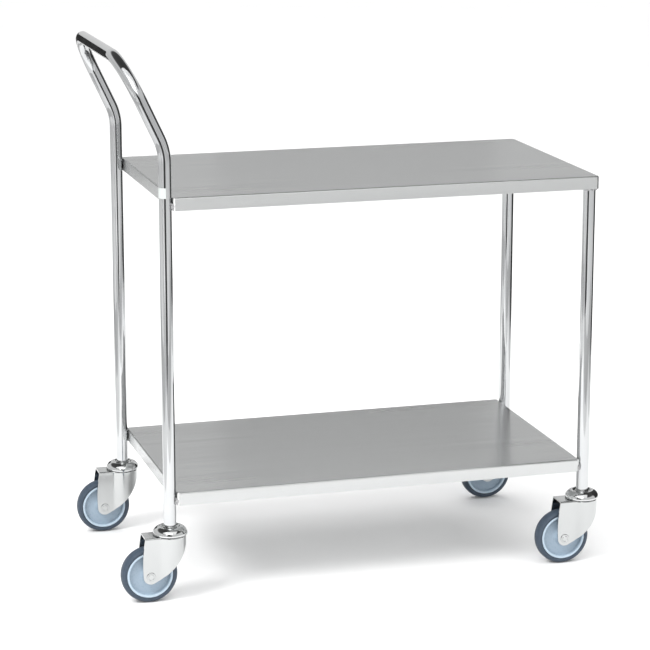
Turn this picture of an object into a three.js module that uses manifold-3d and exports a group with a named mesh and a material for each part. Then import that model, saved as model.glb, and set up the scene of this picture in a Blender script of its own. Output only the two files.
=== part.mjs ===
// Bar cart on wheels: two folded stainless shelves in a chrome tube frame with a
// push handle, on four swivel casters.
// Millimetres, +Z up, floor at z = 0. X is the length, with the handle at the -X end.

import * as THREE from "three";
import { mergeVertices } from "three/addons/utils/BufferGeometryUtils.js";
import Module from "manifold-3d";

const wasm = await Module();
wasm.setup();

const gap = 0.3; // clearance between pieces that touch on the real cart

// Tube frame
const tubeRadius = 11;
const tubeBore = 9.5;
const tubeSegments = 20;
const postSpacingX = 770;
const postSpacingY = 414;
const postBottomZ = 137;

// Push handle: the left posts bend outwards and meet in a crossbar
const handleAngle = THREE.MathUtils.degToRad(25);
const handleBendZ = 797; // height where the post and leg centrelines would meet
const handleBendRadius = 100;
const crossbarZ = 950;
const handleCornerRadius = 80;

// Shelves
const topShelfZ = 716;
const bottomShelfZ = 196;
const sheetThickness = 1.5;
const flangeDepth = 23;
const foldRadius = 3;
const flangeClearY = 12.8; // from a post axis to the outside of the long flanges
const topShelfOverhang = 15; // from the right post axes to the right end of the top shelf
const shelfCornerRadius = 9;
const cornerNotch = 3.5;

// Casters
const wheelRadius = 50;
const casterTrail = 39;
const wheelSegments = 28;
const forkHalfWidth = 20;
const forkWall = 2.5;
const forkTopZ = 120;
const forkFrontRadius = 27.5;
const forkTipRadius = 13.5;
const kingPinRadius = 6;
const headRadius = 30.5;
const headTopZ = 134.5;

// The cart is centred on the origin between the left tyres and the right caster heads
const halfLength = (wheelRadius + casterTrail + postSpacingX + headRadius) / 2;
const leftPostX = -halfLength + wheelRadius + casterTrail;
const rightPostX = leftPostX + postSpacingX;
const postY = postSpacingY / 2;
const shelfHalfY = postY + flangeClearY;
const shelfLeftX = leftPostX + tubeRadius + gap;

// ---------------------------------------------------------------- materials

const chrome = new THREE.MeshStandardMaterial({ color: 0xd9dbdc, roughness: 0.08, metalness: 1 });
const stainless = new THREE.MeshStandardMaterial({ color: 0xc3c5c5, roughness: 0.35, metalness: 1 });
const pressedSteel = new THREE.MeshStandardMaterial({ color: 0xd6d8d8, roughness: 0.18, metalness: 1 });
const weldMetal = new THREE.MeshStandardMaterial({ color: 0xb9bbbb, roughness: 0.4, metalness: 1 });
const rimPlastic = new THREE.MeshStandardMaterial({ color: 0xa9bccf, roughness: 0.45, metalness: 0 });
const tyreRubber = new THREE.MeshStandardMaterial({ color: 0x4d5864, roughness: 0.6, metalness: 0 });
const labelPaper = new THREE.MeshStandardMaterial({ color: 0xf6f8f6, roughness: 0.6, metalness: 0 });

// ------------------------------------------------------------------ helpers

function toSolid(geometry) {
  const bare = geometry.clone();
  bare.deleteAttribute("normal");
  bare.deleteAttribute("uv");
  const merged = mergeVertices(bare, 1e-4);
  const mesh = new wasm.Mesh({
    numProp: 3,
    vertProperties: new Float32Array(merged.attributes.position.array),
    triVerts: new Uint32Array(merged.index.array),
  });
  return new wasm.Manifold(mesh);
}

function toGeometry(solid) {
  const mesh = solid.getMesh();
  const geometry = new THREE.BufferGeometry();
  geometry.setAttribute("position", new THREE.BufferAttribute(mesh.vertProperties, 3));
  geometry.setIndex(new THREE.BufferAttribute(mesh.triVerts, 1));
  geometry.computeVertexNormals();
  return geometry;
}

function addMesh(parent, name, geometry, material) {
  const mesh = new THREE.Mesh(geometry, material);
  mesh.name = name;
  parent.add(mesh);
  return mesh;
}

function circlePoints(radius, segments) {
  const points = [];
  for (let i = 0; i < segments; i += 1) {
    const angle = (i / segments) * 2 * Math.PI;
    points.push(new THREE.Vector2(radius * Math.cos(angle), radius * Math.sin(angle)));
  }
  return points;
}

// Turns a profile of [radius, height] pairs about the Y axis
function turnedAboutY(profile, segments) {
  const points = profile.map(([radius, height]) => new THREE.Vector2(radius, height));
  return new THREE.LatheGeometry(points, segments);
}

// The same for the wheel, with flats instead of corners at the given radii and one flat
// facing down, so that it stands still on the floor
function wheelTurnedAboutY(profile) {
  const halfFacet = Math.PI / wheelSegments;
  const cornerScale = 1 / Math.cos(halfFacet);
  const points = profile.map(([radius, y]) => new THREE.Vector2(radius * cornerScale, y));
  return new THREE.LatheGeometry(points, wheelSegments, halfFacet);
}

function turnedAboutZ(profile, segments) {
  return turnedAboutY(profile, segments).rotateX(Math.PI / 2);
}

// A vertical prism on a plan outline, with the top edge rounded by edgeRadius
function roundedTopPrism(outline, bottomZ, topZ, edgeRadius) {
  const geometry = new THREE.ExtrudeGeometry(new THREE.Shape(outline), {
    depth: topZ - bottomZ - edgeRadius,
    bevelThickness: edgeRadius,
    bevelSize: edgeRadius,
    bevelOffset: -edgeRadius,
    bevelSegments: 2,
  });
  return geometry.translate(0, 0, bottomZ);
}

// --------------------------------------------------------------- tube frame

// A centreline given by stations, each with its own point and direction, so that
// straight runs need no points between their ends
class StationPath extends THREE.Curve {
  constructor(stations) {
    super();
    this.stations = stations;
  }

  getPointAt(u) {
    return this.stations[Math.round(u * (this.stations.length - 1))].point.clone();
  }

  getTangentAt(u) {
    return this.stations[Math.round(u * (this.stations.length - 1))].direction.clone();
  }
}

// Stations of an arc that starts at a point, leaves along from and turns to the direction to
function arcStations(start, from, to, radius, steps) {
  const turn = from.angleTo(to);
  const side = to.clone().addScaledVector(from, -to.dot(from)).normalize();
  const stations = [];
  for (let i = 0; i <= steps; i += 1) {
    const angle = (i / steps) * turn;
    const point = start.clone();
    point.addScaledVector(from, radius * Math.sin(angle));
    point.addScaledVector(side, radius * (1 - Math.cos(angle)));
    const direction = from.clone().multiplyScalar(Math.cos(angle));
    direction.addScaledVector(side, Math.sin(angle));
    stations.push({ point, direction });
  }
  return stations;
}

// Stations from the foot of the front left post to the middle of the crossbar
function halfHandleStations() {
  const up = new THREE.Vector3(0, 0, 1);
  const outwards = new THREE.Vector3(-Math.sin(handleAngle), 0, Math.cos(handleAngle));
  const across = new THREE.Vector3(0, 1, 0);
  const foot = new THREE.Vector3(leftPostX, -postY, postBottomZ);
  const bendTangent = handleBendRadius * Math.tan(handleAngle / 2);
  const bendStart = new THREE.Vector3(leftPostX, -postY, handleBendZ - bendTangent);
  const bend = arcStations(bendStart, up, outwards, handleBendRadius, 4);
  const legLength = (crossbarZ - handleBendZ) / Math.cos(handleAngle);
  const legCorner = new THREE.Vector3(leftPostX, -postY, handleBendZ);
  legCorner.addScaledVector(outwards, legLength);
  const cornerStart = legCorner.clone().addScaledVector(outwards, -handleCornerRadius);
  const corner = arcStations(cornerStart, outwards, across, handleCornerRadius, 6);
  return [{ point: foot, direction: up }, ...bend, ...corner];
}

function handleStations() {
  const front = halfHandleStations();
  const rear = front.map(({ point, direction }) => ({
    point: new THREE.Vector3(point.x, -point.y, point.z),
    direction: new THREE.Vector3(-direction.x, direction.y, -direction.z),
  }));
  return [...front, ...rear.reverse()];
}

function handleGeometry() {
  const stations = handleStations();
  const ring = new THREE.Shape(circlePoints(tubeRadius, tubeSegments));
  ring.holes.push(new THREE.Path(circlePoints(tubeBore, tubeSegments)));
  return new THREE.ExtrudeGeometry(ring, {
    steps: stations.length - 1,
    extrudePath: new StationPath(stations),
  });
}

function rightPostGeometry() {
  const topZ = topShelfZ - foldRadius - gap;
  const profile = [
    [tubeBore, postBottomZ],
    [tubeRadius, postBottomZ],
    [tubeRadius, topZ],
    [tubeBore, topZ],
    [tubeBore, postBottomZ],
  ];
  return turnedAboutZ(profile, tubeSegments);
}

// ------------------------------------------------------------------ shelves

// Plan outline of a shelf, drawn in by inset, with the right corners rounded
function shelfOutline(rightX, cornerRadius, inset) {
  const left = shelfLeftX + inset;
  const right = rightX - inset;
  const half = shelfHalfY - inset;
  const shape = new THREE.Shape();
  shape.moveTo(left, -half);
  if (cornerRadius > 0) {
    const radius = cornerRadius - inset;
    shape.lineTo(right - radius, -half);
    shape.absarc(right - radius, -half + radius, radius, -Math.PI / 2, 0, false);
    shape.absarc(right - radius, half - radius, radius, 0, Math.PI / 2, false);
  } else {
    shape.lineTo(right, -half);
    shape.lineTo(right, half);
  }
  shape.lineTo(left, half);
  return shape.getPoints(3);
}

// The open corner that is left where two flanges are folded from a notched sheet
function cornerCut(x, y, topZ) {
  const size = cornerNotch * Math.SQRT2;
  const cut = new THREE.BoxGeometry(size, size, 4 * flangeDepth);
  cut.rotateZ(Math.PI / 4);
  cut.translate(x, y, topZ);
  return toSolid(cut);
}

function shelfGeometry(topZ, rightX, cornerRadius) {
  const rimZ = topZ - flangeDepth;
  const outerOutline = shelfOutline(rightX, cornerRadius, 0);
  const innerOutline = shelfOutline(rightX, cornerRadius, sheetThickness);
  const innerFold = foldRadius - sheetThickness;
  const outer = roundedTopPrism(outerOutline, rimZ, topZ, foldRadius);
  const inner = roundedTopPrism(innerOutline, rimZ, topZ - sheetThickness, innerFold);
  const below = new THREE.BoxGeometry(4 * halfLength, 4 * shelfHalfY, 4 * foldRadius);
  below.translate(0, 0, rimZ - 2 * foldRadius);
  let solid = toSolid(outer).subtract(toSolid(inner)).subtract(toSolid(below));
  for (const y of [-shelfHalfY, shelfHalfY]) {
    solid = solid.subtract(cornerCut(shelfLeftX, y, topZ));
    if (cornerRadius === 0) {
      solid = solid.subtract(cornerCut(rightX, y, topZ));
    }
  }
  return toGeometry(solid);
}

// Weld bead in the wedge between a tube and a notched shelf corner. The outline is
// measured from the post axis: first number towards the shelf, second outwards in Y.
function cornerWeldGeometry(towardsShelf, outwards, topZ) {
  const outline = [
    [10.7, 4.2],
    [9.7, 6.2],
    [8.4, 7.9],
    [8.6, 10.6],
    [11.2, 12.4],
    [13.8, 12.2],
    [10.9, 9.3],
  ];
  const shape = new THREE.Shape(
    outline.map(([along, across]) => new THREE.Vector2(along * towardsShelf, across * outwards)),
  );
  const weld = new THREE.ExtrudeGeometry(shape, { depth: 12, bevelEnabled: false });
  return weld.translate(0, 0, topZ - 22);
}

// A flat band between two radii, from one angle to another
function arcBand(innerRadius, outerRadius, startDegrees, endDegrees, steps) {
  const outer = [];
  const inner = [];
  for (let i = 0; i <= steps; i += 1) {
    const degrees = startDegrees + (i / steps) * (endDegrees - startDegrees);
    const angle = THREE.MathUtils.degToRad(degrees);
    outer.push(new THREE.Vector2(Math.cos(angle), Math.sin(angle)).multiplyScalar(outerRadius));
    inner.unshift(new THREE.Vector2(Math.cos(angle), Math.sin(angle)).multiplyScalar(innerRadius));
  }
  return new THREE.Shape([...outer, ...inner]);
}

// Weld bead under the edge of the top shelf, around the outer side of a right post
function postWeldGeometry(outwards) {
  const band = arcBand(11.4, 13.6, -15 * outwards, 120 * outwards, 8);
  return new THREE.ExtrudeGeometry(band, { depth: 2.2, bevelEnabled: false });
}

function labelGeometry() {
  const band = arcBand(11.3, 11.6, 150, 265, 13);
  return new THREE.ExtrudeGeometry(band, { depth: 18, bevelEnabled: false });
}

// ------------------------------------------------------------------ casters
// Each caster is built with its swivel axis on Z and the floor at z = 0.

// Tube plug, collar and king pin, riveted over under the fork
function stemGeometry() {
  const profile = [
    [0, 113.4],
    [8, 113.4],
    [10, 115],
    [10, forkTopZ - forkWall - gap],
    [kingPinRadius, forkTopZ - forkWall - gap],
    [kingPinRadius, headTopZ + gap],
    [12, headTopZ + gap],
    [12, postBottomZ - gap],
    [9, postBottomZ - gap],
    [9, 172],
    [7, 175],
    [0, 175],
  ];
  return turnedAboutZ(profile, 12);
}

// Pressed dome over the swivel bearing, open underneath
function headGeometry() {
  const rimZ = forkTopZ + 1;
  const profile = [
    [kingPinRadius + 0.9, headTopZ - 1.5],
    [17, headTopZ - 1.5],
    [25.5, headTopZ - 4.5],
    [29, headTopZ - 9.5],
    [29, rimZ],
    [headRadius, rimZ],
    [headRadius, headTopZ - 9.5],
    [28.6, headTopZ - 4.6],
    [24.5, headTopZ - 1.2],
    [19, headTopZ],
    [kingPinRadius + 0.9, headTopZ],
    [kingPinRadius + 0.9, headTopZ - 1.5],
  ];
  return turnedAboutZ(profile, 20);
}

// Plan outline of the fork, drawn in by inset: flat legs at the rear, round at the front
function forkPlan(inset, rearX) {
  const half = forkHalfWidth - inset;
  const radius = forkFrontRadius - inset;
  const points = [
    new THREE.Vector2(rearX, -half),
    new THREE.Vector2(-23, -half),
    new THREE.Vector2(-19.3, -half - 0.8),
  ];
  const blend = THREE.MathUtils.degToRad(124);
  const steps = 10;
  for (let i = 0; i <= steps; i += 1) {
    const angle = -blend + (i / steps) * 2 * blend;
    points.push(new THREE.Vector2(radius * Math.cos(angle), radius * Math.sin(angle)));
  }
  points.push(
    new THREE.Vector2(-19.3, half + 0.8),
    new THREE.Vector2(-23, half),
    new THREE.Vector2(rearX, half),
  );
  return points;
}

// Side outline of the fork: X along the cart, Y up. The tip is round about the axle and
// the front edge runs in a curve from the tip up to the round front.
function forkSide() {
  const shape = new THREE.Shape();
  shape.moveTo(-48.5, forkTopZ + 5);
  shape.lineTo(-48.5, forkTopZ);
  shape.lineTo(-51.6, 100);
  shape.lineTo(-52.5, 80);
  shape.lineTo(-casterTrail - forkTipRadius, wheelRadius);
  shape.absarc(-casterTrail, wheelRadius, forkTipRadius, Math.PI, 1.68 * Math.PI, false);
  shape.lineTo(-22, 43.5);
  shape.lineTo(-10, 54);
  shape.lineTo(2, 65.5);
  shape.lineTo(12, 77);
  shape.lineTo(20, 89);
  shape.lineTo(25.5, 101);
  shape.lineTo(29, 113);
  shape.lineTo(29, forkTopZ + 5);
  return shape.getPoints(5);
}

function forkGeometry() {
  const depth = 4 * forkHalfWidth;
  const side = new THREE.ExtrudeGeometry(new THREE.Shape(forkSide()), {
    depth,
    bevelEnabled: false,
  });
  side.translate(0, 0, -depth / 2).rotateX(Math.PI / 2);
  const outer = roundedTopPrism(forkPlan(0, -60), 20, forkTopZ, 3);
  const inner = roundedTopPrism(forkPlan(forkWall, -70), 10, forkTopZ - forkWall, 1);
  const raceProfile = [
    [17, forkTopZ - 1],
    [26.5, forkTopZ - 1],
    [26.5, forkTopZ + 4],
    [17, forkTopZ + 4],
    [17, forkTopZ - 1],
  ];
  const race = turnedAboutZ(raceProfile, 20);
  const kingPinHole = new THREE.CylinderGeometry(kingPinRadius + 0.9, kingPinRadius + 0.9, 40, 12);
  kingPinHole.rotateX(Math.PI / 2).translate(0, 0, forkTopZ);
  const axleHole = new THREE.CylinderGeometry(4.7, 4.7, depth, 12);
  axleHole.translate(-casterTrail, 0, wheelRadius);
  const shell = toSolid(outer).intersect(toSolid(side)).subtract(toSolid(inner));
  const drilled = shell.subtract(toSolid(kingPinHole)).subtract(toSolid(axleHole));
  return toGeometry(drilled.add(toSolid(race)));
}

// Axle bolt along Y with a low round head on the -Y leg
function axleBoltGeometry() {
  const headBase = -forkHalfWidth - gap;
  const profile = [
    [0, headBase - 1.6],
    [4.2, headBase - 1.6],
    [5, headBase - 2.3],
    [6.6, headBase - 2.3],
    [8, headBase - 1.1],
    [8, headBase],
    [4, headBase],
    [4, forkHalfWidth + 8.5],
    [3.2, forkHalfWidth + 9.3],
    [0, forkHalfWidth + 9.3],
  ];
  return turnedAboutY(profile, 12);
}

function axleNutGeometry() {
  const hexagon = new THREE.Shape(circlePoints(7.5, 6));
  hexagon.holes.push(new THREE.Path(circlePoints(4.5, 12)));
  const nut = new THREE.ExtrudeGeometry(hexagon, { depth: 6.5, bevelEnabled: false });
  return nut.rotateX(-Math.PI / 2).translate(0, forkHalfWidth + gap, 0);
}

// Sleeve between the legs, which the wheel hub turns on
function axleSleeveGeometry() {
  const halfLength = forkHalfWidth - forkWall - gap;
  const profile = [
    [4.5, -halfLength],
    [6.5, -halfLength],
    [6.5, halfLength],
    [4.5, halfLength],
    [4.5, -halfLength],
  ];
  return turnedAboutY(profile, 12);
}

// Wheel centre: hub, recessed web and a raised ring beside the tyre
function rimGeometry() {
  const halfProfile = [
    [7.2, 16],
    [13.5, 16],
    [14.5, 5.5],
    [34.5, 4],
    [37.2, 11.6],
    [40.6, 11.2],
  ];
  const lower = halfProfile.map(([radius, y]) => [radius, -y]);
  const upper = [...halfProfile].reverse();
  return wheelTurnedAboutY([...lower, ...upper, lower[0]]);
}

function tyreGeometry() {
  const halfProfile = [
    [40.9, 11],
    [42, 12],
    [47.3, 10.8],
    [wheelRadius, 5],
  ];
  const lower = halfProfile.map(([radius, y]) => [radius, -y]);
  const upper = [...halfProfile].reverse();
  return wheelTurnedAboutY([...lower, ...upper, lower[0]]);
}

function makeCaster(prefix) {
  const caster = new THREE.Group();
  addMesh(caster, `${prefix}_stem`, stemGeometry(), pressedSteel);
  addMesh(caster, `${prefix}_head`, headGeometry(), pressedSteel);
  addMesh(caster, `${prefix}_fork`, forkGeometry(), pressedSteel);
  const axle = new THREE.Group();
  axle.position.set(-casterTrail, 0, wheelRadius);
  addMesh(axle, `${prefix}_axle_bolt`, axleBoltGeometry(), pressedSteel);
  addMesh(axle, `${prefix}_axle_nut`, axleNutGeometry(), pressedSteel);
  addMesh(axle, `${prefix}_axle_sleeve`, axleSleeveGeometry(), pressedSteel);
  addMesh(axle, `${prefix}_rim`, rimGeometry(), rimPlastic);
  addMesh(axle, `${prefix}_tyre`, tyreGeometry(), tyreRubber);
  caster.add(axle);
  return caster;
}

// ----------------------------------------------------------------- assembly

const cart = new THREE.Group();

addMesh(cart, "handle_frame", handleGeometry(), chrome);
const frontRightPost = addMesh(cart, "front_right_post", rightPostGeometry(), chrome);
frontRightPost.position.set(rightPostX, -postY, 0);
const rearRightPost = addMesh(cart, "rear_right_post", rightPostGeometry(), chrome);
rearRightPost.position.set(rightPostX, postY, 0);

const topRightX = rightPostX + topShelfOverhang;
addMesh(cart, "top_shelf", shelfGeometry(topShelfZ, topRightX, shelfCornerRadius), stainless);
const bottomRightX = rightPostX - tubeRadius - gap;
addMesh(cart, "bottom_shelf", shelfGeometry(bottomShelfZ, bottomRightX, 0), stainless);

const ends = { left: leftPostX, right: rightPostX };
const sides = { front: -1, rear: 1 };
for (const [side, outwards] of Object.entries(sides)) {
  for (const [end, postX] of Object.entries(ends)) {
    const towardsShelf = end === "left" ? 1 : -1;
    const lowGeometry = cornerWeldGeometry(towardsShelf, outwards, bottomShelfZ);
    const lowWeld = addMesh(cart, `bottom_weld_${side}_${end}`, lowGeometry, weldMetal);
    lowWeld.position.set(postX, postY * outwards, 0);

    const caster = makeCaster(`caster_${side}_${end}`);
    caster.position.set(postX, postY * outwards, 0);
    cart.add(caster);
  }

  const leftGeometry = cornerWeldGeometry(1, outwards, topShelfZ);
  const leftWeld = addMesh(cart, `top_weld_${side}_left`, leftGeometry, weldMetal);
  leftWeld.position.set(leftPostX, postY * outwards, 0);

  const rightWeld = addMesh(cart, `top_weld_${side}_right`, postWeldGeometry(outwards), weldMetal);
  rightWeld.position.set(rightPostX, postY * outwards, topShelfZ - flangeDepth - gap - 2.2);
}

const label = addMesh(cart, "blank_label", labelGeometry(), labelPaper);
label.position.set(leftPostX, -postY, 715);

export default cart;
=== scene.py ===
"""Looks of a bar cart on wheels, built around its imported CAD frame.

Two folded stainless shelves in a chrome tube frame with a push handle, on four swivel
casters. Shapes are given in millimetres and placed in the frame, which is in metres.
"""

import math

import bmesh
import bpy
from mathutils import Matrix, Vector


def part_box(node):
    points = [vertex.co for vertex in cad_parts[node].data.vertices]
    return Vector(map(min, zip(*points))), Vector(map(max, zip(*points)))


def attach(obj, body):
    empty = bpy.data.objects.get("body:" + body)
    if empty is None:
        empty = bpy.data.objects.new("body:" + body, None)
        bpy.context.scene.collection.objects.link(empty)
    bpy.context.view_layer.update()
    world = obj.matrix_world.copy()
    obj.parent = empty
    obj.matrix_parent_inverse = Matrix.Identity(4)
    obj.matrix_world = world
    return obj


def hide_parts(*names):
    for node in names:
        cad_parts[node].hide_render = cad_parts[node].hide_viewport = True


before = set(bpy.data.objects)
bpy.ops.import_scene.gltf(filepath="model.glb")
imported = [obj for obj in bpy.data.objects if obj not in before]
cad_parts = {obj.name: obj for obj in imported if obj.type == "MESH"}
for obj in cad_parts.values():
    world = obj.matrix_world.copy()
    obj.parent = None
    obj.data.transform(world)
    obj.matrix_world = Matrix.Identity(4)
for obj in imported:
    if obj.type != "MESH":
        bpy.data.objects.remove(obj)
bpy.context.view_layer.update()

MM = 0.001
AXIS = 0.01  # a radius near zero, for turned shapes that reach their axis

# Tube frame
TUBE_RADIUS = 11
TUBE_BORE = 9.5
TUBE_SIDES = 56
HANDLE_ANGLE = math.radians(25)
HANDLE_BEND_Z = 797
HANDLE_BEND_RADIUS = 100
CROSSBAR_Z = 950
HANDLE_CORNER_RADIUS = 80

# Shelves
SHEET = 1.5
FOLD_RADIUS = 3
SHELF_CORNER_RADIUS = 9
CORNER_NOTCH = 3.5
FLANGE_DEPTH = 23

# Casters, measured from the swivel axis and the floor
TRAIL = 39
WHEEL_RADIUS = 50
FORK_HALF_WIDTH = 20
FORK_WALL = 2.5
FORK_TOP_Z = 120
FORK_FRONT_RADIUS = 27.5
FORK_TIP_RADIUS = 13.5
FORK_REAR_X = -48.5
FORK_LEG_FRONT_X = -24
HEAD_RADIUS = 30.5
HEAD_TOP_Z = 134.5
PIN_HOLE_RADIUS = 6.9
AXLE_HOLE_RADIUS = 4.7
POST_BOTTOM_Z = 137
FITTING_GAP = 0.3
ROUND_STEPS = 72


def centre_of(node):
    """Middle of a CAD node's box, in millimetres."""
    low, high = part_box(node)
    return (low + high) / 2 / MM


front_right = centre_of("front_right_post")
left_stem = centre_of("caster_front_left_stem")
RIGHT_POST_X = front_right.x
LEFT_POST_X = left_stem.x
POST_Y = -front_right.y
TOP_SHELF_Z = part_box("top_shelf")[1].z / MM
BOTTOM_SHELF_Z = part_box("bottom_shelf")[1].z / MM


# ---------------------------------------------------------------- materials


class Shader:
    """A Principled material, with short helpers for its procedural nodes."""

    def __init__(self, name, colour, metallic, roughness):
        self.material = bpy.data.materials.new(name)
        self.material.use_nodes = True
        self.tree = self.material.node_tree
        self.surface = self.tree.nodes["Principled BSDF"]
        self.surface.inputs["Base Color"].default_value = (*colour, 1)
        self.surface.inputs["Metallic"].default_value = metallic
        self.surface.inputs["Roughness"].default_value = roughness
        self.place = self.tree.nodes.new("ShaderNodeTexCoord").outputs["Object"]

    def noise(self, scale, detail=3, stretch=(1, 1, 1)):
        """Noise of about 1 / scale metres per bump, drawn out along the axes with low stretch."""
        mapping = self.tree.nodes.new("ShaderNodeMapping")
        mapping.inputs["Scale"].default_value = stretch
        self.tree.links.new(self.place, mapping.inputs["Vector"])
        texture = self.tree.nodes.new("ShaderNodeTexNoise")
        texture.inputs["Scale"].default_value = scale
        texture.inputs["Detail"].default_value = detail
        self.tree.links.new(mapping.outputs["Vector"], texture.inputs["Vector"])
        return texture.outputs["Fac"]

    def beyond_radius(self, radius_mm):
        """About 0.3 inside and 0.7 outside a radius from the Y axis, with a soft edge."""
        flat = self.tree.nodes.new("ShaderNodeVectorMath")
        flat.operation = "MULTIPLY"
        flat.inputs[1].default_value = (1, 0, 1)
        length = self.tree.nodes.new("ShaderNodeVectorMath")
        length.operation = "LENGTH"
        step = self.tree.nodes.new("ShaderNodeMapRange")
        step.inputs["From Min"].default_value = (radius_mm - 0.4) * MM
        step.inputs["From Max"].default_value = (radius_mm + 0.4) * MM
        step.inputs["To Min"].default_value = 0.3
        step.inputs["To Max"].default_value = 0.7
        self.tree.links.new(self.place, flat.inputs[0])
        self.tree.links.new(flat.outputs["Vector"], length.inputs[0])
        self.tree.links.new(length.outputs["Value"], step.inputs["Value"])
        return step.outputs["Result"]

    def spread(self, value, low, high):
        """Stretches the middle of a noise value over low to high."""
        node = self.tree.nodes.new("ShaderNodeMapRange")
        node.inputs["From Min"].default_value = 0.3
        node.inputs["From Max"].default_value = 0.7
        node.inputs["To Min"].default_value = low
        node.inputs["To Max"].default_value = high
        self.tree.links.new(value, node.inputs["Value"])
        return node.outputs["Result"]

    def vary_colour(self, value, low, high):
        """Base colour that follows a noise value."""
        mix = self.tree.nodes.new("ShaderNodeMix")
        mix.data_type = "RGBA"
        mix.inputs["A"].default_value = (*low, 1)
        mix.inputs["B"].default_value = (*high, 1)
        self.tree.links.new(self.spread(value, 0, 1), mix.inputs["Factor"])
        self.tree.links.new(mix.outputs["Result"], self.surface.inputs["Base Color"])

    def vary_roughness(self, value, low, high):
        """Roughness that follows a noise value."""
        self.tree.links.new(self.spread(value, low, high), self.surface.inputs["Roughness"])

    def bump(self, value, height_mm, normal=None):
        """Fine relief, on top of an earlier bump where one is given."""
        node = self.tree.nodes.new("ShaderNodeBump")
        node.inputs["Strength"].default_value = 1
        node.inputs["Distance"].default_value = height_mm * MM
        self.tree.links.new(value, node.inputs["Height"])
        if normal is not None:
            self.tree.links.new(normal, node.inputs["Normal"])
        self.tree.links.new(node.outputs["Normal"], self.surface.inputs["Normal"])
        return node.outputs["Normal"]


def chrome_tube_material():
    """Bright plating: nearly a mirror, with faint polishing haze."""
    shader = Shader("chrome_tube", (0.58, 0.59, 0.6), 1, 0.04)
    shader.vary_roughness(shader.noise(60, 4), 0.03, 0.06)
    shader.vary_colour(shader.noise(25, 2), (0.565, 0.575, 0.585), (0.595, 0.605, 0.61))
    return shader.material


def brushed_sheet_material():
    """Stainless sheet, brushed lengthwise. Reflections spread across the grain."""
    shader = Shader("brushed_sheet", (0.64, 0.65, 0.65), 1, 0.26)
    shader.place = shader.tree.nodes.new("ShaderNodeTexCoord").outputs["UV"]
    streaks = shader.noise(60, 5, stretch=(0.02, 1, 1))
    shader.vary_colour(streaks, (0.615, 0.625, 0.625), (0.67, 0.68, 0.68))
    shader.vary_roughness(shader.noise(40, 3, stretch=(0.03, 1, 1)), 0.25, 0.275)
    shader.bump(shader.noise(1500, 2, stretch=(0.012, 1, 1)), 0.0008)
    grain = shader.tree.nodes.new("ShaderNodeTangent")
    grain.direction_type = "UV_MAP"
    grain.uv_map = "unfolded"
    shader.tree.links.new(grain.outputs["Tangent"], shader.surface.inputs["Tangent"])
    shader.surface.inputs["Anisotropic"].default_value = 0.85
    shader.surface.inputs["Anisotropic Rotation"].default_value = 0.25
    return shader.material


def pressed_steel_material():
    """Plated pressings: polished, slightly wavy from the press."""
    shader = Shader("pressed_steel", (0.54, 0.55, 0.55), 1, 0.12)
    shader.vary_roughness(shader.noise(90, 4), 0.09, 0.18)
    ripples = shader.bump(shader.noise(45, 2), 0.05)
    shader.bump(shader.noise(700, 3), 0.003, ripples)
    return shader.material


def dome_material():
    """The caster heads are polished to a mirror."""
    shader = Shader("dome_steel", (0.62, 0.63, 0.63), 1, 0.05)
    shader.vary_roughness(shader.noise(80, 3), 0.04, 0.08)
    shader.bump(shader.noise(70, 2), 0.03)
    return shader.material


def painted_shade_race_material():
    """Bearing race, painted dark grey as painted shade for the shadow between head and fork."""
    # painted shade: the dark base colour stands in for the shadow under the dome
    shader = Shader("race_steel_painted_shade", (0.2, 0.2, 0.21), 1, 0.35)
    shader.vary_roughness(shader.noise(300, 4), 0.28, 0.45)
    return shader.material


def weld_material():
    """Weld metal: uneven grey, half polished."""
    shader = Shader("weld_metal", (0.5, 0.5, 0.5), 1, 0.3)
    shader.vary_colour(shader.noise(500, 3), (0.28, 0.28, 0.29), (0.7, 0.7, 0.7))
    shader.vary_roughness(shader.noise(800, 3), 0.2, 0.45)
    shader.bump(shader.noise(900, 2), 0.08)
    return shader.material


def rim_material():
    """Light blue-grey moulded plastic. The ring beside the tyre is painted paler than the disc, a
    painted highlight for the light its gloss catches.
    """
    shader = Shader("rim_plastic", (0.4, 0.49, 0.58), 0, 0.3)
    # painted highlight: the ring outside 36 mm is painted paler than the recessed disc inside it
    shader.vary_colour(shader.beyond_radius(36), (0.3, 0.38, 0.46), (0.44, 0.54, 0.63))
    shader.vary_roughness(shader.noise(400, 4), 0.24, 0.36)
    shader.bump(shader.noise(2500, 2), 0.004)
    return shader.material


def tyre_material():
    """Dark blue-grey rubber with a fine matt skin."""
    shader = Shader("tyre_rubber", (0.05, 0.07, 0.1), 0, 0.5)
    shader.vary_colour(shader.noise(150, 5), (0.034, 0.05, 0.073), (0.044, 0.063, 0.09))
    shader.vary_roughness(shader.noise(500, 4), 0.48, 0.65)
    shader.bump(shader.noise(1800, 3), 0.012)
    return shader.material


def label_material():
    """Blank white label, matt and slightly uneven."""
    shader = Shader("label_paper", (0.5, 0.53, 0.52), 0, 0.5)
    shader.vary_colour(shader.noise(900, 3), (0.48, 0.51, 0.5), (0.52, 0.55, 0.54))
    return shader.material


CHROME = chrome_tube_material()
BRUSHED = brushed_sheet_material()
PRESSED = pressed_steel_material()
DOME = dome_material()
RACE = painted_shade_race_material()
WELD = weld_material()
RIM = rim_material()
TYRE = tyre_material()
LABEL = label_material()


# ------------------------------------------------------------- mesh helpers


def make_mesh(name, points, faces, sharp_degrees=32, unfolded=None):
    """A smooth-shaded mesh from points in millimetres, with sharp edges past an angle.

    The unfolded points, where given, say where each point lies on the flat sheet.
    """
    mesh = bpy.data.meshes.new(name)
    mesh.from_pydata([Vector(point) * MM for point in points], [], faces)
    if unfolded:
        layout = mesh.uv_layers.new(name="unfolded")
        for loop in mesh.loops:
            layout.data[loop.index].uv = Vector(unfolded[loop.vertex_index]) * MM
    shade(mesh, sharp_degrees)
    return mesh


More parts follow.
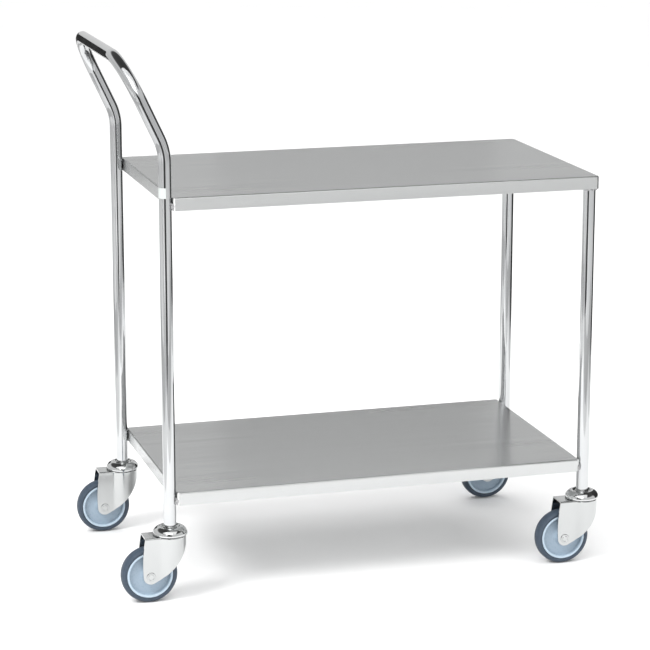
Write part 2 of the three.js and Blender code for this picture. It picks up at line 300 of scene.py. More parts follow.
def shade(mesh, sharp_degrees):
    """Merges doubled points, turns all faces outwards and marks the sharp edges."""
    work = bmesh.new()
    work.from_mesh(mesh)
    bmesh.ops.remove_doubles(work, verts=work.verts, dist=0.002 * MM)
    bmesh.ops.recalc_face_normals(work, faces=work.faces)
    for face in work.faces:
        face.smooth = True
    for edge in work.edges:
        edge.smooth = edge.calc_face_angle(0) < math.radians(sharp_degrees)
    work.to_mesh(mesh)
    work.free()


def add_piece(name, mesh, material, body, nodes, place=(0, 0, 0)):
    """Puts a mesh at a place in millimetres, on a CAD body, in place of CAD nodes."""
    piece = bpy.data.objects.new(name, mesh)
    bpy.context.scene.collection.objects.link(piece)
    piece.location = Vector(place) * MM
    mesh.materials.clear()
    mesh.materials.append(material)
    even_shading = piece.modifiers.new("even_shading", "WEIGHTED_NORMAL")
    even_shading.keep_sharp = True
    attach(piece, body)
    if nodes:
        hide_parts(*nodes)
    return piece


def applied(mesh, name, modifiers, sharp_degrees=32):
    """A new mesh with modifiers applied: each is (type, {setting: value})."""
    holder = bpy.data.objects.new(name, mesh)
    bpy.context.scene.collection.objects.link(holder)
    for kind, settings in modifiers:
        modifier = holder.modifiers.new(kind.lower(), kind)
        for setting, value in settings.items():
            setattr(modifier, setting, value)
    graph = bpy.context.evaluated_depsgraph_get()
    result = bpy.data.meshes.new_from_object(holder.evaluated_get(graph))
    bpy.data.objects.remove(holder)
    shade(result, sharp_degrees)
    return result


def bevel(width, segments, past_degrees):
    """A bevel for applied(), on the edges past an angle."""
    settings = {
        "width": width * MM,
        "segments": segments,
        "limit_method": "ANGLE",
        "angle_limit": math.radians(past_degrees),
    }
    return ("BEVEL", settings)


def softened(corners, steps=4):
    """A closed outline with its corners, given as (distance out, height, radius), rounded."""
    outline = []
    count = len(corners)
    for i, (r, h, radius) in enumerate(corners):
        here = Vector((r, h))
        if radius == 0:
            outline.append(here)
            continue
        before = Vector(corners[i - 1][:2]) - here
        after = Vector(corners[(i + 1) % count][:2]) - here
        reach = min(radius, 0.45 * before.length, 0.45 * after.length)
        start = here + before.normalized() * reach
        end = here + after.normalized() * reach
        for step in range(steps + 1):
            t = step / steps
            outline.append(start.lerp(here, t).lerp(here.lerp(end, t), t))
    return [(point.x, point.y) for point in outline]


def turned_mesh(name, outline, along="Z", steps=ROUND_STEPS, sharp_degrees=32):
    """A closed outline of (radius, height) turned about the Z or Y axis."""
    points = []
    for i in range(steps):
        angle = 2 * math.pi * i / steps
        for radius, height in outline:
            across = radius * math.cos(angle)
            other = radius * math.sin(angle)
            point = (across, other, height) if along == "Z" else (across, height, other)
            points.append(point)
    size = len(outline)
    faces = []
    for i in range(steps):
        for j in range(size):
            a = i * size + j
            b = i * size + (j + 1) % size
            c = ((i + 1) % steps) * size + (j + 1) % size
            d = ((i + 1) % steps) * size + j
            faces.append((a, b, c, d))
    return make_mesh(name, points, faces, sharp_degrees)


# --------------------------------------------------------------- tube frame


def arc_stations(start, direction, towards, radius, steps):
    """Points and directions along an arc that turns from one direction to another."""
    turn = direction.angle(towards)
    side = (towards - direction * towards.dot(direction)).normalized()
    stations = []
    for i in range(steps + 1):
        angle = turn * i / steps
        out = direction * radius * math.sin(angle)
        over = side * radius * (1 - math.cos(angle))
        heading = direction * math.cos(angle) + side * math.sin(angle)
        stations.append((start + out + over, heading))
    return stations


def handle_stations():
    """The whole handle frame, from the foot of the front left post to the rear one."""
    up = Vector((0, 0, 1))
    outwards = Vector((-math.sin(HANDLE_ANGLE), 0, math.cos(HANDLE_ANGLE)))
    across = Vector((0, 1, 0))
    foot = Vector((LEFT_POST_X, -POST_Y, POST_BOTTOM_Z))
    tangent = HANDLE_BEND_RADIUS * math.tan(HANDLE_ANGLE / 2)
    bend_start = Vector((LEFT_POST_X, -POST_Y, HANDLE_BEND_Z - tangent))
    leg = (CROSSBAR_Z - HANDLE_BEND_Z) / math.cos(HANDLE_ANGLE)
    corner = Vector((LEFT_POST_X, -POST_Y, HANDLE_BEND_Z)) + outwards * leg
    corner_start = corner - outwards * HANDLE_CORNER_RADIUS
    front = [(foot, up)]
    front += arc_stations(bend_start, up, outwards, HANDLE_BEND_RADIUS, 16)
    front += arc_stations(corner_start, outwards, across, HANDLE_CORNER_RADIUS, 28)
    flip = Matrix.Diagonal((1, -1, 1))
    rear = [(flip @ point, -(flip @ heading)) for point, heading in reversed(front)]
    return front + rear


def tube_mesh(name, stations):
    """A hollow tube along stations, with its wall closed at both ends."""
    side = stations[0][1].orthogonal().normalized()
    rings = {TUBE_RADIUS: [], TUBE_BORE: []}
    for point, heading in stations:
        side = (side - heading * side.dot(heading)).normalized()
        other = heading.cross(side)
        for radius, points in rings.items():
            for i in range(TUBE_SIDES):
                angle = 2 * math.pi * i / TUBE_SIDES
                points.append(point + (side * math.cos(angle) + other * math.sin(angle)) * radius)
    points = rings[TUBE_RADIUS] + rings[TUBE_BORE]
    shift = len(rings[TUBE_RADIUS])
    faces = []
    for i in range(len(stations) - 1):
        for j in range(TUBE_SIDES):
            a = i * TUBE_SIDES + j
            b = i * TUBE_SIDES + (j + 1) % TUBE_SIDES
            faces.append((a, b, b + TUBE_SIDES, a + TUBE_SIDES))
            faces.append((a + shift, a + TUBE_SIDES + shift, b + TUBE_SIDES + shift, b + shift))
    for end in (0, (len(stations) - 1) * TUBE_SIDES):
        for j in range(TUBE_SIDES):
            a = end + j
            b = end + (j + 1) % TUBE_SIDES
            faces.append((a, b, b + shift, a + shift))
    return make_mesh(name, points, faces, sharp_degrees=50)


def build_tubes():
    """The bent handle frame and the two right posts."""
    handle = tube_mesh("handle_tube", handle_stations())
    add_piece("handle_tube", handle, CHROME, "frame", ["handle_frame"])
    for side, y in (("front", -POST_Y), ("rear", POST_Y)):
        node = f"{side}_right_post"
        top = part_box(node)[1].z / MM
        up = Vector((0, 0, 1))
        foot = Vector((RIGHT_POST_X, y, POST_BOTTOM_Z))
        head = Vector((RIGHT_POST_X, y, top))
        post = tube_mesh(f"{side}_right_tube", [(foot, up), (head, up)])
        add_piece(f"{side}_right_tube", post, CHROME, "frame", [node])


# ------------------------------------------------------------------ shelves


def shelf_loop(node, right_radius):
    """Plan outline of a shelf as (point, outward normal, open) going round from the left.

    An open entry starts a stretch with no flange, where the corner is notched.
    """
    low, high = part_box(node)
    left, right = low.x / MM, high.x / MM
    half = high.y / MM
    west, east = Vector((-1, 0)), Vector((1, 0))
    south, north = Vector((0, -1)), Vector((0, 1))
    notch = CORNER_NOTCH
    loop = [
        (Vector((left, -half + notch)), west, True),
        (Vector((left + notch, -half)), south, False),
    ]
    if right_radius:
        for x_sign, y_sign, first in ((1, -1, -90), (1, 1, 0)):
            middle = Vector((right - right_radius, y_sign * (half - right_radius)))
            for i in range(9):
                angle = math.radians(first + 90 * i / 8)
                normal = Vector((math.cos(angle) * x_sign, math.sin(angle)))
                loop.append((middle + normal * right_radius, normal, False))
    else:
        loop += [
            (Vector((right - notch, -half)), south, True),
            (Vector((right, -half + notch)), east, False),
            (Vector((right, half - notch)), east, True),
            (Vector((right - notch, half)), north, False),
        ]
    loop += [
        (Vector((left + notch, half)), north, True),
        (Vector((left, half - notch)), west, False),
    ]
    return loop


def shelf_section():
    """Pairs of (inset, drop below the top) on the outer and inner face of the fold."""
    outer, inner = [], []
    steps = 8
    inside = FOLD_RADIUS - SHEET
    for i in range(steps + 1):
        angle = math.pi / 2 * i / steps
        sine, cosine = math.sin(angle), math.cos(angle)
        outer.append((FOLD_RADIUS - FOLD_RADIUS * sine, FOLD_RADIUS - FOLD_RADIUS * cosine))
        inner.append((FOLD_RADIUS - inside * sine, FOLD_RADIUS - inside * cosine))
    outer.append((0, FLANGE_DEPTH))
    inner.append((SHEET, FLANGE_DEPTH))
    return outer, inner


def shelf_mesh(node, top_z, right_radius):
    """Folded sheet: a flat top, rounded folds, flanges, and notched corners."""
    loop = shelf_loop(node, right_radius)
    outer, inner = shelf_section()
    rows = len(outer)
    points, unfolded = [], []
    for place, normal, _ in loop:
        for inset, drop in outer + inner:
            spot = place - normal * inset
            points.append((spot.x, spot.y, top_z - drop))
            unfolded.append(tuple(place + normal * (drop - inset)))
    faces = []
    size = 2 * rows
    count = len(loop)

    def cap(k):
        for row in range(rows - 1):
            a = k * size + row
            faces.append((a, a + 1, a + 1 + rows, a + rows))

    for k, (_, _, is_open) in enumerate(loop):
        here = k * size
        there = ((k + 1) % count) * size
        if is_open:
            cap(k)
            cap((k + 1) % count)
            faces.append((here, there, there + rows, here + rows))
            continue
        for row in range(rows - 1):
            faces.append((here + row, here + row + 1, there + row + 1, there + row))
            low = here + rows + row
            high = there + rows + row
            faces.append((low, high, high + 1, low + 1))
        rim = rows - 1
        faces.append((here + rim, here + rim + rows, there + rim + rows, there + rim))
    faces.append(tuple(k * size for k in range(count)))
    faces.append(tuple(k * size + rows for k in reversed(range(count))))
    sheet = make_mesh(f"{node}_sheet", points, faces, unfolded=unfolded)
    return applied(sheet, node, [bevel(0.3, 2, 60)])


def build_shelves():
    """The top shelf, round over the right posts, and the bottom shelf, notched all round."""
    top = shelf_mesh("top_shelf", TOP_SHELF_Z, SHELF_CORNER_RADIUS)
    add_piece("top_shelf_sheet", top, BRUSHED, "frame", ["top_shelf"])
    bottom = shelf_mesh("bottom_shelf", BOTTOM_SHELF_Z, 0)
    add_piece("bottom_shelf_sheet", bottom, BRUSHED, "frame", ["bottom_shelf"])


# -------------------------------------------------------------------- welds


def bead_mesh(name, blobs):
    """A lumpy weld bead: blobs given as (point, radius), run together and smoothed."""
    work = bmesh.new()
    for point, radius in blobs:
        made = bmesh.ops.create_icosphere(work, subdivisions=2, radius=radius * MM)
        bmesh.ops.translate(work, verts=made["verts"], vec=Vector(point) * MM)
    mesh = bpy.data.meshes.new(name)
    work.to_mesh(mesh)
    work.free()
    merge = ("REMESH", {"mode": "VOXEL", "voxel_size": 0.45 * MM})
    smooth = ("SMOOTH", {"factor": 0.5, "iterations": 2})
    return applied(mesh, name, [merge, smooth], sharp_degrees=80)


def corner_bead(name, towards_shelf, outwards, top_z):
    """Bead in the wedge between a tube and a notched shelf corner."""
    blobs = []
    lumps = [
        (9.4, 7.6, 11.4, 2.3),
        (10.8, 9.6, 12.6, 2.0),
        (12.3, 11.2, 14.2, 1.7),
        (9.8, 9.0, 15.4, 2.5),
        (11.8, 10.6, 17.2, 1.9),
        (9.6, 7.9, 18.4, 2.3),
        (10.9, 9.9, 20.2, 1.9),
    ]
    for along, across, drop, radius in lumps:
        blobs.append(((along * towards_shelf, across * outwards, top_z - drop), radius))
    return bead_mesh(name, blobs)


def post_bead(name, outwards, rim_z):
    """Beads under the edge of the top shelf, around the outer side of a right post."""
    blobs = []
    for i in range(12):
        angle = math.radians(-20 + 16 * i) * outwards
        radius = 1.5 + 0.5 * math.sin(2.3 * i)
        height = rim_z - 1.2 - 0.5 * math.cos(1.9 * i)
        blobs.append(((12 * math.cos(angle), 12 * math.sin(angle), height), radius))
    return bead_mesh(name, blobs)


def build_welds():
    """The eight beads that hold the shelves to the tubes."""
    ends = {"left": (LEFT_POST_X, 1), "right": (RIGHT_POST_X, -1)}
    for side, outwards in (("front", -1), ("rear", 1)):
        for end, (post_x, towards_shelf) in ends.items():
            place = (post_x, POST_Y * outwards, 0)
            node = f"bottom_weld_{side}_{end}"
            bead = corner_bead(f"{node}_bead", towards_shelf, outwards, BOTTOM_SHELF_Z)
            add_piece(f"{node}_bead", bead, WELD, "frame", [node], place)
        node = f"top_weld_{side}_left"
        bead = corner_bead(f"{node}_bead", 1, outwards, TOP_SHELF_Z)
        place = (LEFT_POST_X, POST_Y * outwards, 0)
        add_piece(f"{node}_bead", bead, WELD, "frame", [node], place)
        node = f"top_weld_{side}_right"
        bead = post_bead(f"{node}_bead", outwards, TOP_SHELF_Z - FLANGE_DEPTH)
        place = (RIGHT_POST_X, POST_Y * outwards, 0)
        add_piece(f"{node}_bead", bead, WELD, "frame", [node], place)


def build_label():
    """Blank label wrapped part of the way round the front left post."""
    low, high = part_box("blank_label")
    first, last = math.radians(150), math.radians(266)
    steps = 28
    points, faces = [], []
    inner, outer = TUBE_RADIUS + 0.05, TUBE_RADIUS + 0.25
    for i in range(steps + 1):
        angle = first + (last - first) * i / steps
        for radius, height in ((inner, low.z), (outer, low.z), (outer, high.z), (inner, high.z)):
            points.append((radius * math.cos(angle), radius * math.sin(angle), height / MM))
    for i in range(steps):
        for j in range(4):
            a = i * 4 + j
            b = i * 4 + (j + 1) % 4
            faces.append((a, b, b + 4, a + 4))
    faces.append((3, 2, 1, 0))
    faces.append(tuple(steps * 4 + j for j in range(4)))
    mesh = make_mesh("label_patch", points, faces)
    place = (LEFT_POST_X, -POST_Y, 0)
    add_piece("label_patch", mesh, LABEL, "frame", ["blank_label"], place)


# ------------------------------------------------------------------ casters
# Each mesh has the swivel axis on Z and the floor at zero, or the axle at its origin.


def stem_mesh():
    """Plug in the tube, collar and king pin, riveted over under the fork."""
    under_fork = FORK_TOP_Z - FORK_WALL - FITTING_GAP
    under_post = POST_BOTTOM_Z - FITTING_GAP
    plug_top = 175
    outline = softened(
        [
            (AXIS, 113.4, 0),
            (8, 113.4, 2),
            (10, 115, 1),
            (10, under_fork, 0.3),
            (6, under_fork, 0.2),
            (6, 132.4, 0.2),
            (12.6, 132.4, 0.5),
            (12.6, 134.2, 0.6),
            (10.6, 134.8, 0.3),
            (10.6, under_post, 0.4),
            (9, under_post, 0.2),
            (9, plug_top - 3, 1),
            (7, plug_top, 1),
            (AXIS, plug_top, 0),
        ]
    )
    return turned_mesh("stem", outline, steps=48)


def head_mesh():
    """Mirror-bright dome over the swivel bearing, with a dished top."""
    rim_z = FORK_TOP_Z + 1
    side_z = 123
    crest = 19
    wall = 1.5
    flatness = 1.15
    steps = 20

    def dome(radius, top_z):
        """From the crest down to the side, a little flatter than a quarter circle."""
        curve = []
        for i in range(steps + 1):
            angle = math.pi / 2 * i / steps
            out = (radius - crest) * math.sin(angle) ** flatness
            curve.append((crest + out, side_z + (top_z - side_z) * math.cos(angle) ** flatness))
        return curve

    outline = [(PIN_HOLE_RADIUS, 131.4), (13.5, 131.4), (14.5, 131.8)]
    outline += [(16.3, 133.7), (17.4, 134.3)]
    outline += dome(HEAD_RADIUS, HEAD_TOP_Z)
    outline += [(HEAD_RADIUS, rim_z + 0.4), (HEAD_RADIUS - 0.4, rim_z)]
    outline += [(HEAD_RADIUS - wall + 0.3, rim_z), (HEAD_RADIUS - wall, rim_z + 0.3)]
    outline += reversed(dome(HEAD_RADIUS - wall, HEAD_TOP_Z - wall))
    outline += [(17, 132.5), (15, 130.3), (14, 129.9), (PIN_HOLE_RADIUS, 129.9)]
    return turned_mesh("head", outline, steps=96)


def race_mesh():
    """Raised bearing ring on the fork plate, inside the dome."""
    low, high = FORK_TOP_Z - 0.4, FORK_TOP_Z + 4
    outline = softened([(17, low, 0), (26.5, low, 0), (26.5, high, 0.8), (17, high, 0.8)])
    return turned_mesh("race", outline)


def fork_front_z(x):
    """Height of the fork's lower front edge at a distance along the cart."""
    edge = [
        (-31.8, 38.6),
        (-22, 43.6),
        (-10, 53.6),
        (2, 65.2),
        (12, 77),
        (20, 89.5),
        (25.5, 102),
        (27.5, 109),
    ]
    for (x0, z0), (x1, z1) in zip(edge, edge[1:]):
        if x <= x1:
            return z0 + (z1 - z0) * (x - x0) / (x1 - x0)
    return edge[-1][1]


def leg_columns():
    """The flat leg: round about the axle at its foot, bowed out along its rear edge."""
    wall_top = FORK_TOP_Z - FOLD_RADIUS
    out = Vector((0, -1))
    half = FORK_HALF_WIDTH
    tip_steps = 12
    last_tip_angle = 122.4
    columns = []
    for i in range(tip_steps + 2):
        share = i / (tip_steps + 2)
        head_x = FORK_REAR_X + (FORK_LEG_FRONT_X - FORK_REAR_X) * share
        if i <= tip_steps:
            angle = math.radians(180 + last_tip_angle * i / tip_steps)
            foot_x = -TRAIL + FORK_TIP_RADIUS * math.cos(angle)
            foot_z = WHEEL_RADIUS + FORK_TIP_RADIUS * math.sin(angle)
            bulge = 2.2 * (1 - share) ** 2
        else:
            foot_x = -28
            foot_z = fork_front_z(foot_x)
            bulge = 0
        columns.append(((foot_x, -half, foot_z), (head_x, -half, wall_top), out, bulge))
    return columns


def front_column(spot, normal):
    """Upright column of the round front, over a point of the plan."""
    foot = (spot.x, spot.y, fork_front_z(spot.x))
    return (foot, (spot.x, spot.y, FORK_TOP_Z - FOLD_RADIUS), normal, 0)


def fork_columns():
    """Half of the fork from rear to front as (foot, head, plan normal, bulge) columns."""
    columns = leg_columns()
    start = Vector((FORK_LEG_FRONT_X, -FORK_HALF_WIDTH))
    blend = math.radians(124)
    arc_start = Vector((math.cos(blend), -math.sin(blend))) * FORK_FRONT_RADIUS
    arc_heading = Vector((math.sin(blend), math.cos(blend)))
    pull_in = start + Vector((4.5, 0))
    pull_out = arc_start - arc_heading * 3.2
    blend_steps = 8
    for i in range(blend_steps):
        t = i / blend_steps
        s = 1 - t
        spot = start * s**3 + pull_in * 3 * s * s * t
        spot += pull_out * 3 * s * t * t
        spot += arc_start * t**3
        heading = (pull_in - start) * s * s
        heading += (pull_out - pull_in) * 2 * s * t
        heading += (arc_start - pull_out) * t * t
        heading.normalize()
        columns.append(front_column(spot, Vector((heading.y, -heading.x))))
    arc_steps = 30
    for i in range(arc_steps + 1):
        angle = -blend * (1 - i / arc_steps)
        normal = Vector((math.cos(angle), math.sin(angle)))
        columns.append(front_column(normal * FORK_FRONT_RADIUS, normal))
    return columns


def fork_section(column):
    """Points from the foot of one column up its wall and over the fold."""
    foot, head, normal, bulge = column
    foot, head = Vector(foot), Vector(head)
    points = []
    wall_steps = 12
    for i in range(wall_steps + 1):
        t = i / wall_steps
        spot = foot.lerp(head, t)
        spot.x -= bulge * math.sin(math.pi * t)
        points.append(spot)
    fold_steps = 5
    for i in range(1, fold_steps + 1):
        angle = math.pi / 2 * i / fold_steps
        inset = FOLD_RADIUS * (1 - math.cos(angle))
        rise = FOLD_RADIUS * math.sin(angle)
        inner_x = head.x - normal.x * inset
        inner_y = head.y - normal.y * inset
        points.append(Vector((inner_x, inner_y, head.z + rise)))
    return points


def rod_mesh(name, radius, low, high, along):
    """A plain rod for cutting a hole."""
    outline = [(AXIS, low), (radius, low), (radius, high), (AXIS, high)]
    return turned_mesh(name, outline, along, 40)


def fork_mesh():
    """Pressed fork: flat legs at the rear, round front, with holes for pin and axle."""
    halves = [fork_section(column) for column in fork_columns()]
    rows = len(halves[0])
    points = []
    for section in halves:
        points += section
        points += [Vector((spot.x, -spot.y, spot.z)) for spot in reversed(section)]
    size = 2 * rows
    faces = []
    for i in range(len(halves) - 1):
        for j in range(size - 1):
            a = i * size + j
            faces.append((a, a + 1, a + 1 + size, a + size))
    skin = make_mesh("fork_skin", points, faces)
    solid = ("SOLIDIFY", {"thickness": FORK_WALL * MM, "offset": -1, "use_even_offset": True})
    shell = applied(skin, "fork_shell", [solid])
    pin_hole = rod_mesh("pin_hole", PIN_HOLE_RADIUS, 100, 140, "Z")
    axle_hole = rod_mesh("axle_hole", AXLE_HOLE_RADIUS, -40, 40, "Y")
    cutters = []
    for cutter_mesh, place in ((pin_hole, (0, 0, 0)), (axle_hole, (-TRAIL, 0, WHEEL_RADIUS))):
        cutter = bpy.data.objects.new("cutter", cutter_mesh)
        cutter.location = Vector(place) * MM
        bpy.context.scene.collection.objects.link(cutter)
        cutters.append(cutter)
    bpy.context.view_layer.update()
    cuts = [("BOOLEAN", {"object": cutter, "operation": "DIFFERENCE"}) for cutter in cutters]
    fork = applied(shell, "fork", [*cuts, bevel(0.5, 3, 50)])
    for cutter in cutters:
        bpy.data.objects.remove(cutter)
    return fork


def axle_bolt_mesh():
    """Axle with a low head whose face has a raised edge and a raised middle."""
    base = -FORK_HALF_WIDTH - FITTING_GAP
    end = FORK_HALF_WIDTH + 9.3
    outline = softened(
        [
            (AXIS, base - 1.2, 0),
            (4.3, base - 1.2, 0.3),
            (4.7, base - 0.8, 0.1),
            (5.2, base - 0.8, 0.1),
            (5.6, base - 1.2, 0.3),
            (7.5, base - 1.2, 0.4),
            (8, base - 0.6, 0.3),
            (8, base, 0.1),
            (4, base, 0.1),
            (4, end - 0.8, 0.2),
            (3.2, end, 0.3),
            (AXIS, end, 0),
        ]
    )
    return turned_mesh("axle_bolt", outline, "Y", 56)


def axle_nut_mesh():
    """Hexagon nut with chamfered corners and a bore."""
    base = FORK_HALF_WIDTH + FITTING_GAP
    rings = [(4.5, 0), (6.8, 0), (7.5, 0.6), (7.5, 5.9), (6.8, 6.5), (4.5, 6.5)]
    points, faces = [], []
    for radius, height in rings:
        for i in range(6):
            angle = math.radians(60 * i)
            points.append((radius * math.cos(angle), base + height, radius * math.sin(angle)))
    for row in range(len(rings)):
        below = row * 6
        above = ((row + 1) % len(rings)) * 6
        for i in range(6):
            j = (i + 1) % 6
            faces.append((below + i, below + j, above + j, above + i))
    nut = make_mesh("axle_nut_blank", points, faces)
    return applied(nut, "axle_nut", [bevel(0.35, 2, 25)])


def axle_sleeve_mesh():
    """Spacer tube between the fork legs, inside the wheel hub."""
    half = FORK_HALF_WIDTH - FORK_WALL - FITTING_GAP
    bore, outside = 4.5, 6.5
    outline = softened(
        [(bore, -half, 0.3), (outside, -half, 0.4), (outside, half, 0.4), (bore, half, 0.3)]
    )
    return turned_mesh("axle_sleeve", outline, "Y", 40)


def mirrored_outline(half):
    """A closed outline from one half, given from the bore out, with its mirror image."""
    lower = [(radius, -height, soft) for radius, height, soft in half]
    return softened([*lower, *reversed(half)])


def rim_mesh():
    """Wheel centre: hub, dished web and a raised ring beside the tyre."""
    half = [
        (7.2, 16, 0.4),
        (12.6, 16, 0.8),
        (13.6, 7.5, 1.5),
        (17, 5.2, 2),
        (33.4, 3.4, 1.2),
        (35.4, 4.4, 0.8),
        (36.4, 10.6, 0.5),
        (37.4, 11.6, 0.5),
        (39.6, 11.9, 0.4),
        (40.6, 11.2, 0.3),
    ]
    return turned_mesh("rim", mirrored_outline(half), "Y", 96)


def tyre_mesh():
    """Rubber tyre with round shoulders and a flat inner face."""
    half = [(40.9, 10.6), (41.2, 11.3), (42.2, 11.7)]
    shoulder = 42.8
    half_width = 11.9
    steps = 14
    for i in range(steps + 1):
        angle = math.pi / 2 * i / steps
        radius = shoulder + (WHEEL_RADIUS - shoulder) * math.sin(angle) ** 0.85
        half.append((radius, half_width * math.cos(angle) ** 0.75))
    lower = [(radius, -height) for radius, height in half]
    return turned_mesh("tyre", [*lower, *reversed(half[:-1])], "Y", 112)


def build_casters():
    """The four casters, from one mesh of each piece."""
    steel = "pressed_steel"
    frame_parts = [("stem", stem_mesh(), PRESSED, steel), ("head", head_mesh(), DOME, steel)]
    fork = ("fork", fork_mesh(), PRESSED, steel)
    axle_parts = [
        ("axle_bolt", axle_bolt_mesh(), PRESSED, steel),
        ("axle_nut", axle_nut_mesh(), PRESSED, steel),
        ("axle_sleeve", axle_sleeve_mesh(), PRESSED, steel),
    ]
    wheel_parts = [
        ("rim", rim_mesh(), RIM, "rim_plastic"),
        ("tyre", tyre_mesh(), TYRE, "tyre_rubber"),
    ]
    race = race_mesh()
    for side, y in (("front", -POST_Y), ("rear", POST_Y)):
        for end, x in (("left", LEFT_POST_X), ("right", RIGHT_POST_X)):
            caster = f"caster_{side}_{end}"
            swivel, axle = (x, y, 0), (x - TRAIL, y, WHEEL_RADIUS)
            add_caster_parts(caster, frame_parts, "frame", swivel)
            add_caster_parts(caster, [fork], f"{caster}_swivel", swivel)
            add_caster_parts(caster, axle_parts, f"{caster}_swivel", axle)
            name = f"{caster}_race_looks"
            add_piece(name, race.copy(), RACE, f"{caster}_swivel", [], swivel)
            add_caster_parts(caster, wheel_parts, f"{caster}_wheel", axle)


def add_caster_parts(caster, parts, body, place):
    """Pieces of one caster, given as (part name, mesh, material, slot)."""
    for part, mesh, material, slot in parts:
        node = f"{caster}_{part}"
        add_piece(f"{node}_looks", mesh.copy(), material, body, [node], place)


# ------------------------------------------------------------ camera, studio

CAMERA_PLACE = Vector((-1.24, -4.245, 1.4775))
CAMERA_AZIMUTH = math.radians(-16.1)
CAMERA_PITCH = math.radians(13.41)
CAMERA_LENS = 137.3


def build_camera():
    """The camera stands in front of the left end and looks slightly down."""
    camera = bpy.data.objects.new("camera", bpy.data.cameras.new("camera"))
    camera.data.lens = CAMERA_LENS
    camera.location = CAMERA_PLACE
    camera.rotation_euler = (math.pi / 2 - CAMERA_PITCH, 0, CAMERA_AZIMUTH)
    bpy.context.scene.collection.objects.link(camera)
    bpy.context.scene.camera = camera


def paper_material(name, shade_value):
    """Matt grey paper with a faint mottle."""
    shader = Shader(name, (shade_value,) * 3, 0, 0.9)
    shader.vary_colour(shader.noise(6), (shade_value * 0.99,) * 3, (shade_value * 1.01,) * 3)
    return shader.material


def build_floor():
    """A large pale floor, which runs on to the horizon."""
    size = 40
    corners = [(-size, -size, 0), (size, -size, 0), (size, size, 0), (-size, size, 0)]
    mesh = bpy.data.meshes.new("floor")
    mesh.from_pydata(corners, [], [(0, 1, 2, 3)])
    mesh.materials.append(paper_material("floor_paper", 0.9))
    floor = bpy.data.objects.new("floor", mesh)
    bpy.context.scene.collection.objects.link(floor)


def add_card(name, start, end, low, high, shade_value):
    """An upright studio card between two points on the floor. Only reflections show it."""
    corners = [(*start, low), (*end, low), (*end, high), (*start, high)]
    add_reflector(name, corners, [(0, 1, 2, 3)], shade_value)


def add_floor_border(name, near, far, height, shade_value):
    """A greyer floor between two rectangles, each given by two opposite corners."""
    corners = []
    for x0, y0, x1, y1 in (near, far):
        corners += [(x0, y0, height), (x1, y0, height), (x1, y1, height), (x0, y1, height)]
    faces = [(i, (i + 1) % 4, (i + 1) % 4 + 4, i + 4) for i in range(4)]
    add_reflector(name, corners, faces, shade_value)


def add_ceiling_card(shade_value):
    """A pale ceiling over the camera, for the caster heads."""
    corners = [(-4, -4.6, 2.9), (1.8, -4.6, 2.9), (1.8, -0.8, 3.8), (-4, -0.8, 3.8)]
    add_reflector("ceiling_card", corners, [(0, 1, 2, 3)], shade_value)


def add_reflector(name, corners, faces, shade_value):
    mesh = bpy.data.meshes.new(name)
    mesh.from_pydata(corners, [], faces)
    mesh.materials.append(paper_material(name, shade_value))
    reflector = bpy.data.objects.new(name, mesh)
    reflector.visible_camera = False
    reflector.visible_shadow = False
    reflector.visible_diffuse = False
    bpy.context.scene.collection.objects.link(reflector)


def add_area_light(name, place, size, power, shows_in_metal=False):
    """A soft light, aimed at the foot of the cart."""
    light = bpy.data.objects.new(name, bpy.data.lights.new(name, "AREA"))
    light.data.shape = "SQUARE"
    light.data.size = size
    light.data.energy = power
    light.location = place
    light.rotation_euler = (-Vector(place)).to_track_quat("-Z", "Y").to_euler()
    light.visible_glossy = shows_in_metal
    bpy.context.scene.collection.objects.link(light)


def add_sun(strength):
    """Even light from straight above, so that the floor stays pale far away."""
    sun = bpy.data.objects.new("sky_light", bpy.data.lights.new("sky_light", "SUN"))
    sun.data.energy = strength
    sun.data.angle = math.radians(90)
    sun.location = (0, 0, 5)
    sun.visible_glossy = False
    bpy.context.scene.collection.objects.link(sun)


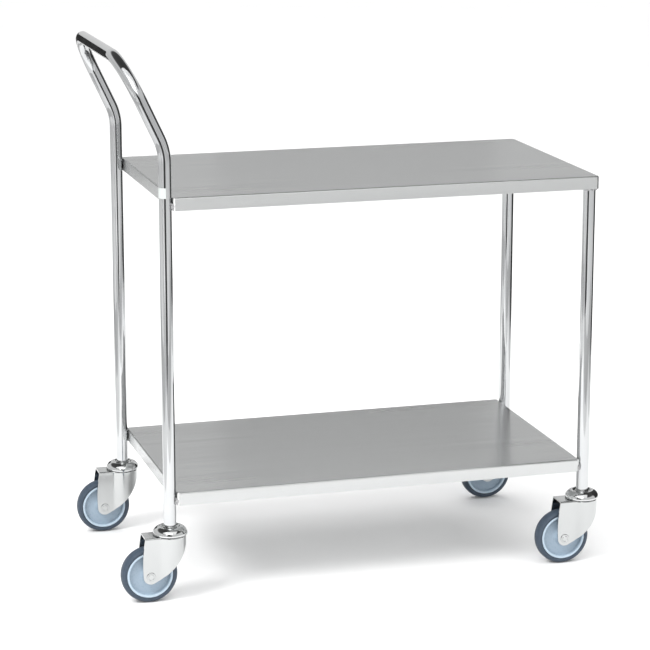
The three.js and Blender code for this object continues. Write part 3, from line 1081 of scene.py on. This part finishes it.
def build_world():
    """Pale surroundings, bright near the horizon and darker overhead."""
    world = bpy.data.worlds.new("studio")
    world.use_nodes = True
    nodes, links = world.node_tree.nodes, world.node_tree.links
    place = nodes.new("ShaderNodeTexCoord")
    split = nodes.new("ShaderNodeSeparateXYZ")
    ramp = nodes.new("ShaderNodeValToRGB")
    links.new(place.outputs["Generated"], split.inputs["Vector"])
    links.new(split.outputs["Z"], ramp.inputs["Fac"])
    stops = [(0, 0.7), (0.2, 0.8), (0.5, 0.85), (0.62, 0.1), (1, 0.06)]
    ramp.color_ramp.elements[0].position = stops[0][0]
    ramp.color_ramp.elements[1].position = stops[-1][0]
    for position, _ in stops[1:-1]:
        ramp.color_ramp.elements.new(position)
    for element, (_, value) in zip(ramp.color_ramp.elements, stops):
        element.color = (value, value, value, 1)
    links.new(ramp.outputs["Color"], nodes["Background"].inputs["Color"])
    bpy.context.scene.world = world


def build_studio():
    """Floor, lights, and the cards that put dark and pale lines into the chrome."""
    bpy.context.scene.view_settings.view_transform = "Standard"
    build_world()
    build_floor()
    add_sun(2.5)
    add_area_light("key_light", (-2.9, -1.7, 3.4), 1.4, 120)
    add_area_light("front_light", (-1.15, -2.9, 2.5), 2.2, 36, shows_in_metal=True)
    add_area_light("fill_light", (2.4, -3.2, 2.2), 2.5, 26)
    add_area_light("back_light", (0.3, 3.4, 3.2), 2.5, 32)
    add_floor_border("floor_border", (-1, -1.05, 1.4, 1.2), (-14, -14, 14, 14), 0.002, 0.6)
    add_floor_border("floor_ring", (-1.5, -1.3, 1.7, 1.5), (-2.2, -1.95, 2.3, 2.2), 0.004, 0.36)
    add_card("front_flag", (-0.885, -1.07), (-0.34, -1.8), 0.1, 1, 0.04)
    add_card("right_flag", (2.1, -0.5), (1.5, 1.6), 0, 1.7, 0.02)
    add_card("back_flag", (-1.38, 3.1), (-0.43, 3.3), 0.15, 1.4, 0.02)
    add_ceiling_card(0.85)
    add_card("left_card", (-1.75, -1.2), (-2.05, -0.6), 0, 1.1, 0.6)
    add_card("back_card", (0.5, 2.95), (1.3, 2.7), 0, 1.5, 0.42)


build_camera()
build_tubes()
build_shelves()
build_welds()
build_label()
build_casters()
build_studio()
